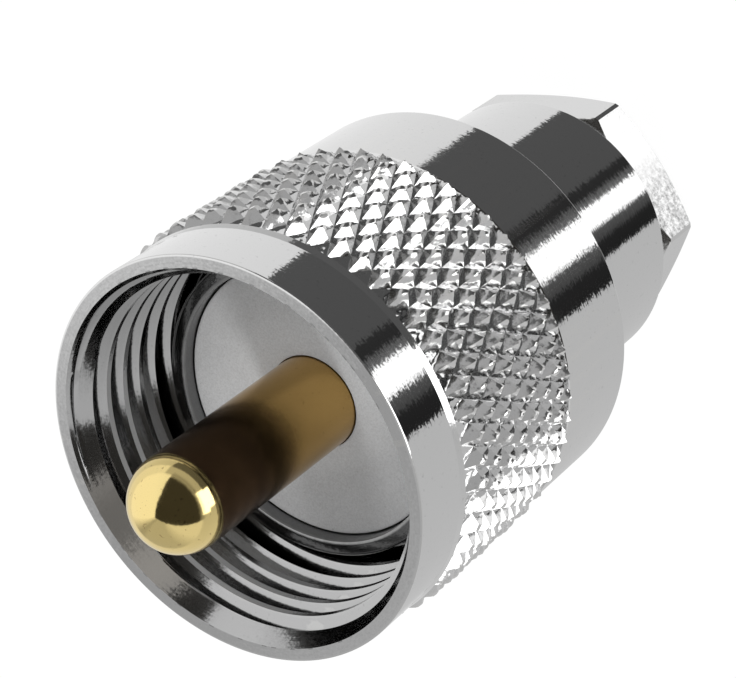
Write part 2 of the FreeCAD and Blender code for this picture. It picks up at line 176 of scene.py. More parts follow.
# Rows of points in a pitch
THREAD_ROWS = 16
THREAD_FOOT = 21.3
MOUTH = 8.05
MOUTH_SLOPE = math.tan(math.radians(30))
MOUTH_FOOT = NUT_FRONT - (MOUTH - THREAD_CREST) / MOUTH_SLOPE
RELIEF = 7.95
RELIEF_FOOT = 17.9
# Bore round the barrel, its groove for the split ring, and the bore's rear edge
NUT_BORE = 6.43
GROOVE = 6.95
GROOVE_FOOT = 14.64
GROOVE_TOP = 15.34
REAR_EDGE = 6.75
# Places of the finishes in the nut's list, and how far a face has to turn to the axis for the first, the
# bore's nickel darkened with painted shade
BORE_PAINTED_SHADE_SLOT = 1
KNURLED = 2
LEAST_INWARD = 0.0001


def pyramid_heights(seed):
    """Small differences in height from one pyramid to the next."""
    dice = random.Random(seed)
    return [
        [dice.uniform(*PYRAMID_HEIGHTS) for _ in range(KNURL_TEETH * 2)] for _ in range(KNURL_ROWS + 1)
    ]


def knurl_place(across, along):
    """Place on the two sets of diagonal grooves, and the pyramid tip that it belongs to."""
    p, q = across + along, across - along
    return p, q, 2 * round(p / 2), 2 * round(q / 2)


def knurl_radius(column, line, heights):
    """Radius at a point of the knurl's fine grid. The half pyramids at the front edge are left out."""
    across, along = column / FINE, line / FINE
    p, q, tip_p, tip_q = knurl_place(across, along)
    rise = 1 - max(abs(p - tip_p), abs(q - tip_q))
    tip_row = (tip_p - tip_q) // 2
    tip_place = ((tip_p + tip_q) // 2) % (2 * KNURL_TEETH)
    step = rise * FINE
    low = min(int(step + STEP_TOLERANCE), FINE - 1)
    shaped = PYRAMID_SHAPE[low] + (PYRAMID_SHAPE[low + 1] - PYRAMID_SHAPE[low]) * (step - low)
    if 0 <= tip_row < KNURL_ROWS:
        shaped *= heights[tip_row][tip_place]
    elif tip_row == KNURL_ROWS:
        shaped = 0
    r = KNURL_ROOT + KNURL_DEPTH * shaped
    return min(r, SLEEVE - KNURL_UNDER) if line == 0 else r


def knurl_faces(bm, line, row, following):
    """Triangles between two rows of the knurl, split so that their edges lie along the grooves."""
    for j in range(OUTER_COLUMNS):
        after = (j + 1) % OUTER_COLUMNS
        p, q, tip_p, tip_q = knurl_place((j + 0.5) / FINE, (line + 0.5) / FINE)
        a, b, c, d = row[j], row[after], following[after], following[j]
        if abs(p - tip_p) > abs(q - tip_q):
            bm.faces.new((a, b, d))
            bm.faces.new((b, c, d))
        else:
            bm.faces.new((a, b, c))
            bm.faces.new((a, c, d))


def thread_radius(angle, height):
    """Radius of the right-hand internal thread, cut back by the mouth's chamfer."""
    phase = (height / THREAD_PITCH - angle / TURN) % 1
    root = THREAD_CREST_SHARE + THREAD_FLANK_SHARE
    if phase < THREAD_CREST_SHARE:
        depth = 0
    elif phase < root:
        depth = (phase - THREAD_CREST_SHARE) / THREAD_FLANK_SHARE
    elif phase < root + THREAD_ROOT_SHARE:
        depth = 1
    else:
        depth = (1 - phase) / THREAD_FLANK_SHARE
    return max(THREAD_CREST + THREAD_DEPTH * depth, THREAD_CREST + (height - MOUTH_FOOT) * MOUTH_SLOPE)


def thread_rings(bm):
    """Rows that follow the thread's helix, cut off flat at the relief and at the rim."""
    columns = INNER_COLUMNS
    step = THREAD_PITCH / THREAD_ROWS
    first = math.floor((THREAD_FOOT - THREAD_PITCH) / step)
    last = math.ceil(NUT_FRONT / step)
    known = {}

    def point(j, line):
        turns, j = divmod(j, columns)
        angle = TURN * j / columns
        height = (line + turns * THREAD_ROWS) * step + THREAD_PITCH * angle / TURN
        height = min(max(height, THREAD_FOOT), NUT_FRONT)
        key = (j, round(height, 5))
        if key not in known:
            known[key] = new_point(bm, thread_radius(angle, height), angle, height)
        return known[key]

    for line in range(first, last):
        for j in range(columns):
            corners = [point(j, line), point(j + 1, line), point(j + 1, line + 1), point(j, line + 1)]
            corners = [c for i, c in enumerate(corners) if c is not corners[i - 1]]
            if len(corners) > 2:
                bm.faces.new(corners)
    bottom = [known[(j, round(THREAD_FOOT, 5))] for j in range(columns)]
    top = [known[(j, round(NUT_FRONT, 5))] for j in range(columns)]
    return bottom, top


def make_coupling_nut():
    """Sleeve, diamond knurl, front band, internal thread and bore, as one closed skin."""
    bm = bmesh.new()
    heights = pyramid_heights(HEIGHT_SEED)
    sleeve = softened([
        (REAR_EDGE, NUT_REAR, 0), (SLEEVE - SLEEVE_BEVEL, NUT_REAR, 0.02),
        (SLEEVE, NUT_REAR + SLEEVE_BEVEL, 0.02), (SLEEVE, KNURL_START - 0.04, 0),
        (SLEEVE - 0.05, KNURL_START - 0.01, 0),
    ])
    rear_rings = turn(bm, sleeve, OUTER_COLUMNS)
    previous = rear_rings[-1]
    row_height = (KNURL_END - KNURL_START) / KNURL_ROWS
    torn = random.Random(TEAR_SEED)
    for line in range(KNURL_ROWS * FINE + 1):
        height = (KNURL_START + row_height * line / FINE) * MM
        row = []
        for column in range(OUTER_COLUMNS):
            angle = TURN * column / OUTER_COLUMNS + KNURL_TURN
            r = (knurl_radius(column, line, heights) + torn.uniform(-1, 1) * KNURL_TEAR) * MM
            row.append(bm.verts.new((r * math.cos(angle), r * math.sin(angle), height)))
        if line == 0:
            bridge(bm, previous, row)
        else:
            knurl_faces(bm, line - 1, previous, row)
        previous = row
    band = softened([
        (BAND + 0.07, KNURL_END + 0.04, 0), (BAND, KNURL_END + 0.34, 0.03), (BAND, NUT_FRONT, BAND_EDGE),
        (MOUTH + BAND_EDGE, NUT_FRONT, 0),
    ])
    front_rings = turn(bm, band, OUTER_COLUMNS)
    bridge(bm, previous, front_rings[0])
    bottom, top = thread_rings(bm)
    bridge(bm, front_rings[-1], top)
    inside = softened([
        (RELIEF, THREAD_FOOT, 0), (RELIEF, RELIEF_FOOT, 0.15), (6.6, RELIEF_FOOT, 0.1),
        (NUT_BORE, 17.7, 0.03), (NUT_BORE, GROOVE_TOP, 0.03), (GROOVE, GROOVE_TOP, 0.03),
        (GROOVE, GROOVE_FOOT, 0.03), (NUT_BORE, GROOVE_FOOT, 0.03), (NUT_BORE, NUT_REAR + 0.3, 0.03),
        (6.7, NUT_REAR, 0.03), (REAR_EDGE, NUT_REAR, 0),
    ])
    inner_rings = turn(bm, inside[:-1], INNER_COLUMNS)
    bridge(bm, bottom, inner_rings[0])
    bridge(bm, inner_rings[-1], rear_rings[0])
    nut = as_object("coupling_nut_turned", bm)
    for face in nut.data.polygons:
        x, y, z = face.center
        nx, ny, _ = face.normal
        faces_axis = x * nx + y * ny < -LEAST_INWARD * MM
        # Faces that look to the axis, or lie inside the mouth, take the bore's nickel darkened with painted
        # shade
        if faces_axis or math.hypot(x, y) < MOUTH * MM:
            face.material_index = BORE_PAINTED_SHADE_SLOT
        elif KNURL_START * MM < z < KNURL_END * MM:
            face.material_index = KNURLED
    return nut


# Plug body, clamp nut, pin and bead

# Heights where pieces meet: the barrel's foot, the flange's foot, the bead's step and the pin's collar
BODY_REAR = 3.6
FLANGE_FOOT = 19.1
BEAD_STEP = 19.6
COLLAR_FOOT = 17.6
COLLAR_TOP = 21.88
PIN_REAR = 11.6
BARREL = 6.35
BODY_BEVEL = 0.07
BODY_COLUMNS = 288
BEAD_COLUMNS = 240
# The nickel is darkened with painted shade from just under the flange upwards, and this is its place in the
# body's list
PAINTED_SHADE_FOOT = FLANGE_FOOT - 0.05
CONTACT_PAINTED_SHADE_SLOT = 1


def make_turned(name, columns, points):
    """A turned piece from a closed outline of (radius, height, rounding) points."""
    bm = bmesh.new()
    rings = turn(bm, softened(points + [points[0]])[:-1], columns)
    bridge(bm, rings[-1], rings[0])
    return as_object(name, bm)


def make_plug_body():
    """Barrel with the split ring's groove, flange, contact ring and stepped bore."""
    body = make_turned("plug_body_turned", BODY_COLUMNS, [
        (5.4, BODY_REAR, 0), (BARREL - BODY_BEVEL, BODY_REAR, 0.02), (BARREL, BODY_REAR + BODY_BEVEL, 0.02),
        (BARREL, GROOVE_FOOT, 0.03), (5.55, GROOVE_FOOT, 0.03), (5.55, 16.54, 0.03), (BARREL, 16.54, 0.03),
        (BARREL, FLANGE_FOOT, 0.05), (7.2, FLANGE_FOOT, 0.06), (7.2, 21.1, 0.1), (6.6, 21.1, 0.08),
        (6.6, 22.7, 0.1), (5.94, 22.7, 0.12), (5.94, BEAD_STEP, 0.05), (4.3, BEAD_STEP, 0.05),
        (4.3, PIN_REAR, 0.05), (4.75, PIN_REAR, 0.05), (4.75, BODY_REAR + 0.3, 0.05),
        (5.05, BODY_REAR, 0.05),
    ])
    # Faces from just under the flange upwards take the nickel darkened with painted shade
    for face in body.data.polygons:
        if face.center.z > PAINTED_SHADE_FOOT * MM:
            face.material_index = CONTACT_PAINTED_SHADE_SLOT
    return body


HEX_FLATS = 11.1
HEX_LENGTH = 3.4
HEX_CORNER_LAND = 6.35
HEX_SIDE_COLUMNS = 24
HEX_SLOPE = math.tan(math.radians(30))
HEX_REAR_FLAT = 4.8
HEX_FRONT_FLAT = HEX_FLATS / 2 - 0.02
HEX_CREASE = 18
SHANK_BORE_EDGE = 3.14


def hexagon_reach(angle):
    """Distance from the axis to the hexagon's side, with its corners turned off a little."""
    off = (angle + math.pi / 6) % (math.pi / 3) - math.pi / 6
    return min(HEX_FLATS / 2 / math.cos(math.pi / 6 - abs(off)), HEX_CORNER_LAND)


def make_clamp_nut():
    """Hexagon with a corner on +X and coned corners, on a round shank with a bore."""
    bm = bmesh.new()
    land_angle = math.pi / 6 - math.acos(HEX_FLATS / 2 / HEX_CORNER_LAND)
    angles = []
    for side in range(6):
        start = side * math.pi / 3
        angles.append(start)
        for k in range(HEX_SIDE_COLUMNS + 1):
            angles.append(start + land_angle + (math.pi / 3 - 2 * land_angle) * k / HEX_SIDE_COLUMNS)
    count = len(angles)

    def row(place):
        """A row of points, each at the (radius, height) that place gives for the hexagon's reach there."""
        result = []
        for angle in angles:
            r, z = place(hexagon_reach(angle))
            result.append(new_point(bm, r, angle, z))
        return result

    def rear_cone(share, rise=0.0):
        return lambda reach: (
            HEX_REAR_FLAT + (reach - HEX_REAR_FLAT) * share,
            (reach - HEX_REAR_FLAT) * share * HEX_SLOPE + rise,
        )

    def front_cone(share, drop=0.0):
        return lambda reach: (
            HEX_FRONT_FLAT + (reach - HEX_FRONT_FLAT) * share,
            HEX_LENGTH - (reach - HEX_FRONT_FLAT) * share * HEX_SLOPE - drop,
        )

    def plain(r, z):
        return lambda reach: (r, z)

    places = [plain(SHANK_BORE_EDGE, 0), plain(HEX_REAR_FLAT - 0.03, 0)]
    places += [rear_cone(share) for share in (0.02, 0.5, 0.97)]
    places += [rear_cone(1, rise) for rise in (0.03, 0.08)]
    places += [front_cone(1, drop) for drop in (0.08, 0.03)]
    places += [front_cone(share) for share in (0.94, 0.5, 0.05)]
    places.append(plain(HEX_FRONT_FLAT - 0.05, HEX_LENGTH))
    places += [plain(r, z) for r, z in softened([
        (5.0, HEX_LENGTH, 0), (4.72, HEX_LENGTH, 0.05), (4.72, 6.85, 0.03), (4.6, 7.0, 0.03),
        (2.72, 7.0, 0.05), (2.7, 6.95, 0.03), (2.7, 0.4, 0.05), (3.1, 0.0, 0.03), (SHANK_BORE_EDGE, 0, 0),
    ])[:-1]]
    rows = [row(place) for place in places]
    rows.append(rows[0])
    for first, second in zip(rows, rows[1:]):
        for j in range(count):
            after = (j + 1) % count
            bm.faces.new((first[j], first[after], second[after], second[j]))
    return as_object("clamp_nut_turned", bm, HEX_CREASE)


PIN = 2.0
PIN_TIP = 32.93
PIN_COLUMNS = 144
PIN_CREASE = 35
DOME_STEPS = 28
CUP = 0.65
CUP_FLOOR = 14.6
# The window into the solder cup: its length along X, its reach to the side and its middle height
WINDOW_LENGTH = 1.0
WINDOW_REACH = 2
WINDOW_HEIGHT = 14.1


def make_center_pin():
    """Gold pin: solder cup, thicker stretch in the beads, shank and a round tip."""
    outline = softened([
        (CUP, PIN_REAR, 0), (1.45, PIN_REAR, 0.03), (1.5, PIN_REAR + 0.05, 0.02), (1.5, COLLAR_FOOT, 0.02),
        (2.2, COLLAR_FOOT, 0.05), (2.2, COLLAR_TOP, 0.03), (PIN, COLLAR_TOP, 0.02),
        (PIN, PIN_TIP - PIN - 0.1, 0), (PIN, PIN_TIP - PIN, 0),
    ])
    for k in range(1, DOME_STEPS):
        angle = math.pi / 2 * k / DOME_STEPS
        outline.append((PIN * math.cos(angle), PIN_TIP - PIN + PIN * math.sin(angle)))
    bm = bmesh.new()
    rings = turn(bm, outline, PIN_COLUMNS)
    tip = bm.verts.new((0, 0, PIN_TIP * MM))
    last = rings[-1]
    for j in range(len(last)):
        bm.faces.new((last[j], last[(j + 1) % len(last)], tip))
    cup_floor = new_ring(bm, PIN_COLUMNS, CUP, CUP_FLOOR)
    bridge(bm, cup_floor, rings[0])
    bm.faces.new(cup_floor)
    pin = as_object("center_pin_turned", bm, PIN_CREASE)
    cutter_mesh = bmesh.new()
    bmesh.ops.create_cube(cutter_mesh, size=1)
    for vert in cutter_mesh.verts:
        x, y, z = vert.co
        vert.co = (x * WINDOW_LENGTH * MM, (y - 0.5) * WINDOW_REACH * MM, (WINDOW_HEIGHT + z) * MM)
    cutter = as_object("window_cutter", cutter_mesh)
    cut = pin.modifiers.new("solder_window", "BOOLEAN")
    cut.object = cutter
    cut.operation = "DIFFERENCE"
    cut.solver = "EXACT"
    bpy.context.view_layer.update()
    evaluated = pin.evaluated_get(bpy.context.evaluated_depsgraph_get())
    mesh = bpy.data.meshes.new_from_object(evaluated)
    pin.modifiers.clear()
    pin.data = mesh
    bpy.data.objects.remove(cutter)
    return pin


def make_front_insulator():
    """Stepped bead with room for the pin's collar."""
    return make_turned("front_insulator_turned", BEAD_COLUMNS, [
        (2.23, COLLAR_FOOT, 0.03), (4.27, COLLAR_FOOT, 0.05), (4.27, BEAD_STEP, 0.03),
        (5.91, BEAD_STEP, 0.05), (5.91, 22.06, 0.08), (2.03, 22.06, 0.04), (2.03, COLLAR_TOP, 0.02),
        (2.23, COLLAR_TOP, 0.02),
    ])


# Shader groups

class Nodes:
    """Short ways to add nodes to a tree and join them up."""

    def __init__(self, tree):
        self.tree = tree

    def add(self, kind, **inputs):
        node = self.tree.nodes.new("ShaderNode" + kind)
        for name, value in inputs.items():
            self.feed(node.inputs[name.replace("_", " ")], value)
        return node

    def feed(self, socket, value):
        if isinstance(value, bpy.types.NodeSocket):
            self.tree.links.new(value, socket)
        else:
            socket.default_value = value

    def math(self, operation, a, b=0.0, c=0.0, clamp=False):
        node = self.tree.nodes.new("ShaderNodeMath")
        node.operation = operation
        node.use_clamp = clamp
        for socket, value in zip(node.inputs, (a, b, c)):
            self.feed(socket, value)
        return node.outputs[0]

    def vector(self, operation, a, b=(0, 0, 0)):
        """A vector of the operation, or its value where it gives a number."""
        node = self.tree.nodes.new("ShaderNodeVectorMath")
        node.operation = operation
        self.feed(node.inputs[0], a)
        self.feed(node.inputs[3 if operation == "SCALE" else 1], b)
        return node.outputs[1 if operation in ("LENGTH", "DOT_PRODUCT") else 0]

    def noise(self, where, scale, detail, roughness, output="Fac"):
        node = self.add("TexNoise", Vector=where, Scale=scale, Detail=detail, Roughness=roughness)
        return node.outputs[output]

    def mix(self, share, a, b):
        node = self.tree.nodes.new("ShaderNodeMix")
        node.data_type = "RGBA"
        self.feed(node.inputs["Factor"], share)
        self.feed(node.inputs["A"], a)
        self.feed(node.inputs["B"], b)
        return node.outputs["Result"]

    def range(self, value, low, high, to_low=0.0, to_high=1.0):
        node = self.tree.nodes.new("ShaderNodeMapRange")
        for socket, item in zip(node.inputs, (value, low, high, to_low, to_high)):
            self.feed(socket, item)
        return node.outputs[0]

    def ramp(self, value, stops):
        """Greys between (place, tone) stops."""
        node = self.tree.nodes.new("ShaderNodeValToRGB")
        points = node.color_ramp.elements
        while len(points) < len(stops):
            points.new(1.0)
        for point, (place, tone) in zip(points, stops):
            point.position = place
            point.color = (tone, tone, tone, 1)
        self.feed(node.inputs[0], value)
        return node.outputs[0]

    def mix_shaders(self, share, a, b):
        node = self.add("MixShader")
        for socket, item in zip(node.inputs, (share, a, b)):
            self.feed(socket, item)
        return node.outputs[0]


def new_group(name, inputs, outputs):
    """A node group with its sockets, and the ends that its nodes join on to."""
    tree = bpy.data.node_groups.new(name, "ShaderNodeTree")
    for label, kind, value in inputs:
        socket = tree.interface.new_socket(name=label, in_out="INPUT", socket_type="NodeSocket" + kind)
        socket.default_value = value
    for label, kind in outputs:
        tree.interface.new_socket(name=label, in_out="OUTPUT", socket_type="NodeSocket" + kind)
    inlet = tree.nodes.new("NodeGroupInput")
    outlet = tree.nodes.new("NodeGroupOutput")
    return Nodes(tree), inlet.outputs, outlet.inputs


PER_METRE = 1000.0
# How far a ring's lean holds round the axis, and the noise that sets it: scale, detail and roughness
RING_HOLD = 1.6
RING_NOISE = (1.0, 3.0, 0.65)
SECOND_RINGS = (31.0, 17.0, 5.0)
GRAIN_NOISE = (9000.0, 3.0, 0.5)


def make_turning_marks():
    """Normals of a surface turned on a lathe: fine rings round the axis, each leaning its own way."""
    nodes, given, wanted = new_group(
        "turning_marks",
        [("Rings per mm", "Float", 14.0), ("Lean round", "Float", 0.03), ("Lean along", "Float", 0.03),
         ("Grain", "Float", 0.02)],
        [("Normal", "Vector"), ("Mask", "Float")],
    )
    place = nodes.add("TexCoord").outputs["Object"]
    normal = nodes.add("NewGeometry").outputs["Normal"]
    parts = nodes.add("SeparateXYZ", Vector=place).outputs
    radius = nodes.vector("LENGTH", nodes.vector("MULTIPLY", place, (1, 1, 0)))
    run = nodes.math("ADD", parts["Z"], radius)
    rings = nodes.math("MULTIPLY", nodes.math("MULTIPLY", run, PER_METRE), given["Rings per mm"])
    angle = nodes.math("ARCTAN2", parts["Y"], parts["X"])
    turned = nodes.add("CombineXYZ", X=nodes.math("MULTIPLY", angle, RING_HOLD), Y=rings, Z=0.0).outputs[0]
    mask = nodes.noise(turned, *RING_NOISE)
    lean_round = nodes.math("SUBTRACT", mask, 0.5)
    shifted = nodes.vector("ADD", turned, SECOND_RINGS)
    lean_along = nodes.math("SUBTRACT", nodes.noise(shifted, *RING_NOISE), 0.5)
    axis = nodes.add("VectorTransform", Vector=(0.0, 0.0, 1.0))
    axis.vector_type = "VECTOR"
    axis.convert_from = "OBJECT"
    axis.convert_to = "WORLD"
    around = nodes.vector("NORMALIZE", nodes.vector("CROSS_PRODUCT", axis.outputs[0], normal))
    along = nodes.vector("CROSS_PRODUCT", normal, around)
    grain = nodes.noise(place, *GRAIN_NOISE, output="Color")
    speckle = nodes.vector("SUBTRACT", grain, (0.5, 0.5, 0.5))
    leaning = nodes.vector("SCALE", around, nodes.math("MULTIPLY", lean_round, given["Lean round"]))
    tilting = nodes.vector("SCALE", along, nodes.math("MULTIPLY", lean_along, given["Lean along"]))
    speckled = nodes.vector("SCALE", speckle, given["Grain"])
    total = nodes.vector("ADD", nodes.vector("ADD", normal, leaning), nodes.vector("ADD", tilting, speckled))
    nodes.feed(wanted["Normal"], nodes.vector("NORMALIZE", total))
    nodes.feed(wanted["Mask"], mask)
    return nodes.tree


# Detail and roughness of each noise, and the part of it that shows
SMUDGE_NOISE = (4.0, 0.6)
SMUDGE_SHOWS = (0.42, 0.68)
SPECK_NOISE = (2.0, 0.5)
SPECK_SHOWS = (0.66, 0.74)


def make_handling():
    """Faint smudges and fine dust from handling, as masks."""
    nodes, given, wanted = new_group(
        "handling",
        [("Smudge size", "Float", 260.0), ("Speck size", "Float", 5200.0)],
        [("Smudges", "Float"), ("Specks", "Float")],
    )
    place = nodes.add("TexCoord").outputs["Object"]
    broad = nodes.noise(place, given["Smudge size"], *SMUDGE_NOISE)
    nodes.feed(wanted["Smudges"], nodes.range(broad, *SMUDGE_SHOWS))
    fine = nodes.noise(place, given["Speck size"], *SPECK_NOISE)
    nodes.feed(wanted["Specks"], nodes.range(fine, *SPECK_SHOWS))
    return nodes.tree


# Pointiness above which an edge counts as sticking out, and the patches that break the wear up
EDGE_LIMIT = 0.52
EDGE_PATCHES = 0.05
PATCH_NOISE = (3.0, 0.6)


def make_edge_wear():
    """Where edges stick out and have been rubbed, as a mask."""
    nodes, given, wanted = new_group(
        "edge_wear",
        [("Reach", "Float", 0.06), ("Break up", "Float", 1800.0)],
        [("Worn", "Float")],
    )
    place = nodes.add("TexCoord").outputs["Object"]
    sharpness = nodes.add("NewGeometry").outputs["Pointiness"]
    patchy = nodes.noise(place, given["Break up"], *PATCH_NOISE)
    uneven = nodes.math("MULTIPLY", nodes.math("SUBTRACT", patchy, 0.5), EDGE_PATCHES)
    lifted = nodes.math("ADD", sharpness, uneven)
    top = nodes.math("ADD", EDGE_LIMIT, given["Reach"])
    nodes.feed(wanted["Worn"], nodes.range(lifted, EDGE_LIMIT, top))
    return nodes.tree


turning_marks = make_turning_marks()
handling = make_handling()
edge_wear = make_edge_wear()


# Materials

def use_group(nodes, tree, **values):
    """Outputs of a group in a material, with the values given for its inputs."""
    node = nodes.tree.nodes.new("ShaderNodeGroup")
    node.node_tree = tree
    for name, value in values.items():
        nodes.feed(node.inputs[name.replace("_", " ")], value)
    return node.outputs


def new_material(name):
    """A material with its nodes and its Principled shader."""
    material = bpy.data.materials.new(name)
    material.use_nodes = True
    nodes = Nodes(material.node_tree)
    shader = material.node_tree.nodes["Principled BSDF"]
    return material, nodes, shader


SPECK_SHARE = 0.5
WORN_SHARE = 0.5
DUST_TONE = 0.8
# What smudges, rings and rubbed edges add to a plating's roughness
SMUDGE_HAZE = 0.03
RING_HAZE = 0.03
WORN_HAZE = 0.06
GOLD_HAZE = 0.04


def make_plating(name, colour, worn_colour, gloss, rings, round_lean, along_lean, grain):
    """Bright plating over turned brass: rings, smudges and rubbed edges."""
    material, nodes, shader = new_material(name)
    marks = use_group(
        nodes, turning_marks, Rings_per_mm=rings, Lean_round=round_lean, Lean_along=along_lean, Grain=grain
    )
    touched = use_group(nodes, handling)
    worn = use_group(nodes, edge_wear)["Worn"]
    shader.inputs["Metallic"].default_value = 1.0
    tint = nodes.mix(nodes.math("MULTIPLY", worn, WORN_SHARE), colour, worn_colour)
    dull = tuple(c * DUST_TONE for c in colour[:3]) + (1,)
    tint = nodes.mix(nodes.math("MULTIPLY", touched["Specks"], SPECK_SHARE), tint, dull)
    nodes.feed(shader.inputs["Base Color"], tint)
    haze = nodes.math("MULTIPLY_ADD", touched["Smudges"], SMUDGE_HAZE, gloss)
    haze = nodes.math("MULTIPLY_ADD", marks["Mask"], RING_HAZE, haze)
    haze = nodes.math("MULTIPLY_ADD", worn, WORN_HAZE, haze)
    nodes.feed(shader.inputs["Roughness"], haze)
    nodes.feed(shader.inputs["Normal"], marks["Normal"])
    return material


NICKEL = (0.80, 0.80, 0.80, 1)
NICKEL_WORN = (0.86, 0.85, 0.83, 1)
# The bore's nickel is rougher, as a bored surface is, and darkened with painted shade; its worn edges are
# lighter
BORE_NICKEL_PAINTED_SHADE = (0.50, 0.50, 0.50, 1)
BORE_NICKEL_PAINTED_SHADE_WORN = (0.64, 0.64, 0.63, 1)
# The contact ring's nickel is a little rougher and darkened with painted shade; its worn edges are lighter
CONTACT_NICKEL_PAINTED_SHADE = (0.22, 0.22, 0.22, 1)
CONTACT_NICKEL_PAINTED_SHADE_WORN = (0.6, 0.6, 0.59, 1)
STEEL = (0.42, 0.42, 0.43, 1)
STEEL_WORN = (0.6, 0.6, 0.6, 1)

# Each finish: colour, worn colour, roughness, rings to the millimetre, lean round, lean along, grain
PLATINGS = {
    "nickel_turned": (NICKEL, NICKEL_WORN, 0.04, 14.0, 0.11, 0.08, 0.06),
    "nickel_sleeve": (NICKEL, NICKEL_WORN, 0.04, 11.0, 0.08, 0.06, 0.07),
    "nickel_knurled": (NICKEL, NICKEL_WORN, 0.09, 6.0, 0.06, 0.06, 0.12),
    "nickel_bore_painted_shade": (BORE_NICKEL_PAINTED_SHADE, BORE_NICKEL_PAINTED_SHADE_WORN, 0.09, 14.0, 0.06, 0.06, 0.06),
    "nickel_contact_painted_shade": (CONTACT_NICKEL_PAINTED_SHADE, CONTACT_NICKEL_PAINTED_SHADE_WORN, 0.10, 14.0, 0.06, 0.06, 0.08),
    "nickel_milled": (NICKEL, NICKEL_WORN, 0.10, 12.0, 0.05, 0.05, 0.08),
    "nickel_hidden": (NICKEL, NICKEL_WORN, 0.16, 10.0, 0.06, 0.06, 0.04),
    "spring_steel": (STEEL, STEEL_WORN, 0.3, 24.0, 0.08, 0.1, 0.05),
}
MATERIALS = {name: make_plating(name, *values) for name, values in PLATINGS.items()}

# The rubbed side of the hexagon: where it faces, the way along it, and where the rubbing starts and is full
RUBBED_SIDE = (0.866, -0.5, 0.0)
RUBBED_ALONG = (0.5, 0.866, 0.0)
RUBBED_FACING = (0.95, 0.98)
RUBBED_START = 0.8
RUBBED_FULL = -1.4
RUBBED_NOISE = (3600.0, 3.0, 0.75)
RUBBED_SHOWS = (0.36, 0.62)
RUBBED_TONES = (0.26, 0.76)


def scuff_hexagon(material):
    """Give the lower half of the hexagon's side that a spanner has rubbed a grainy grey colour."""
    nodes = Nodes(material.node_tree)
    shader = material.node_tree.nodes["Principled BSDF"]
    here = nodes.add("TexCoord").outputs
    facing = nodes.vector("DOT_PRODUCT", here["Normal"], RUBBED_SIDE)
    along = nodes.vector("DOT_PRODUCT", here["Object"], RUBBED_ALONG)
    side = nodes.range(facing, *RUBBED_FACING)
    patch = nodes.math("MULTIPLY", side, nodes.range(along, RUBBED_START * MM, RUBBED_FULL * MM))
    grain = nodes.noise(here["Object"], *RUBBED_NOISE)
    tone = nodes.range(grain, *RUBBED_SHOWS, *RUBBED_TONES)
    plain = shader.inputs["Base Color"].links[0].from_socket
    grey = nodes.add("CombineColor", Red=tone, Green=tone, Blue=tone).outputs[0]
    nodes.feed(shader.inputs["Base Color"], nodes.mix(patch, plain, grey))


scuff_hexagon(MATERIALS["nickel_milled"])

# The shank's gold is darkened with painted shade, and on its outer part with a painted dark reflection; the
# tip keeps gold's own pale colour
GOLD_TIP = (0.98, 0.78, 0.34, 1)
GOLD_SHANK_PAINTED_SHADE = (0.53, 0.33, 0.11, 1)
GOLD_PAINTED_DARK_REFLECTION = (0.21, 0.125, 0.065, 1)
GOLD_DARK = (0.30, 0.17, 0.06, 1)
# Heights over which a painted dark reflection darkens the shank, and over which the pale tip starts
DARK_REFLECTION_FROM, DARK_REFLECTION_FULL = 25.8, 28.2
TIP_FROM, TIP_FULL = 30.89, 30.97
SHANK_GLOSS, TIP_GLOSS = 0.17, 0.06
# The nickel round the pin stays neutral, because in its mirror the gold is this much of this grey
GOLD_MIRRORED = (0.62, 0.60, 0.56, 1)
MIRRORED_SHARE = 0.85


def make_gold_plate():
    """Gold over turned brass: pale and bright on the glossy tip, darkened down the shank by painted shade and
    further by a painted dark reflection.
    """
    material, nodes, shader = new_material("gold_plate")
    marks = use_group(nodes, turning_marks, Rings_per_mm=20.0, Lean_round=0.02, Lean_along=0.03, Grain=0.03)
    touched = use_group(nodes, handling, Smudge_size=700.0, Speck_size=6000.0)
    place = nodes.add("TexCoord").outputs["Object"]
    height = nodes.add("SeparateXYZ", Vector=place).outputs["Z"]
    tip_share = nodes.range(height, TIP_FROM * MM, TIP_FULL * MM)
    dark_reflection_share = nodes.range(height, DARK_REFLECTION_FROM * MM, DARK_REFLECTION_FULL * MM)
    # Painted shade on the shank, a painted dark reflection on its outer part, and plain pale gold on the tip
    tint = nodes.mix(tip_share, nodes.mix(dark_reflection_share, GOLD_SHANK_PAINTED_SHADE, GOLD_PAINTED_DARK_REFLECTION), GOLD_TIP)
    tint = nodes.mix(nodes.math("MULTIPLY", touched["Specks"], SPECK_SHARE), tint, GOLD_DARK)
    mirrored = nodes.add("LightPath").outputs["Is Glossy Ray"]
    tint = nodes.mix(nodes.math("MULTIPLY", mirrored, MIRRORED_SHARE), tint, GOLD_MIRRORED)
    nodes.feed(shader.inputs["Base Color"], tint)
    haze = nodes.range(tip_share, 0.0, 1.0, SHANK_GLOSS, TIP_GLOSS)
    haze = nodes.math("MULTIPLY_ADD", touched["Smudges"], GOLD_HAZE, haze)
    haze = nodes.math("MULTIPLY_ADD", marks["Mask"], GOLD_HAZE, haze)
    nodes.feed(shader.inputs["Roughness"], haze)
    nodes.feed(shader.inputs["Normal"], marks["Normal"])
    shader.inputs["Metallic"].default_value = 1.0
    return material


BEAD_WHITE = (0.88, 0.89, 0.90, 1)
BEAD_SMUDGED = (0.84, 0.85, 0.86, 1)
BEAD_SPECK = (0.4, 0.4, 0.4, 1)
BEAD_SPECK_SHARE = 0.25
BEAD_SAND = (0.45, 0.45, 0.45, 1)
SAND_NOISE = (11000.0, 3.0, 0.8)
SAND_SHOWS = (0.35, 0.65)
SAND_SHARES = (0.35, 0.0)
BEAD_GLOSS = (0.42, 0.6)
BEAD_SPECULAR = 0.35
# The part of a ring or grain noise that changes a dull surface's roughness
GLOSS_SHOWS = (0.3, 0.7)


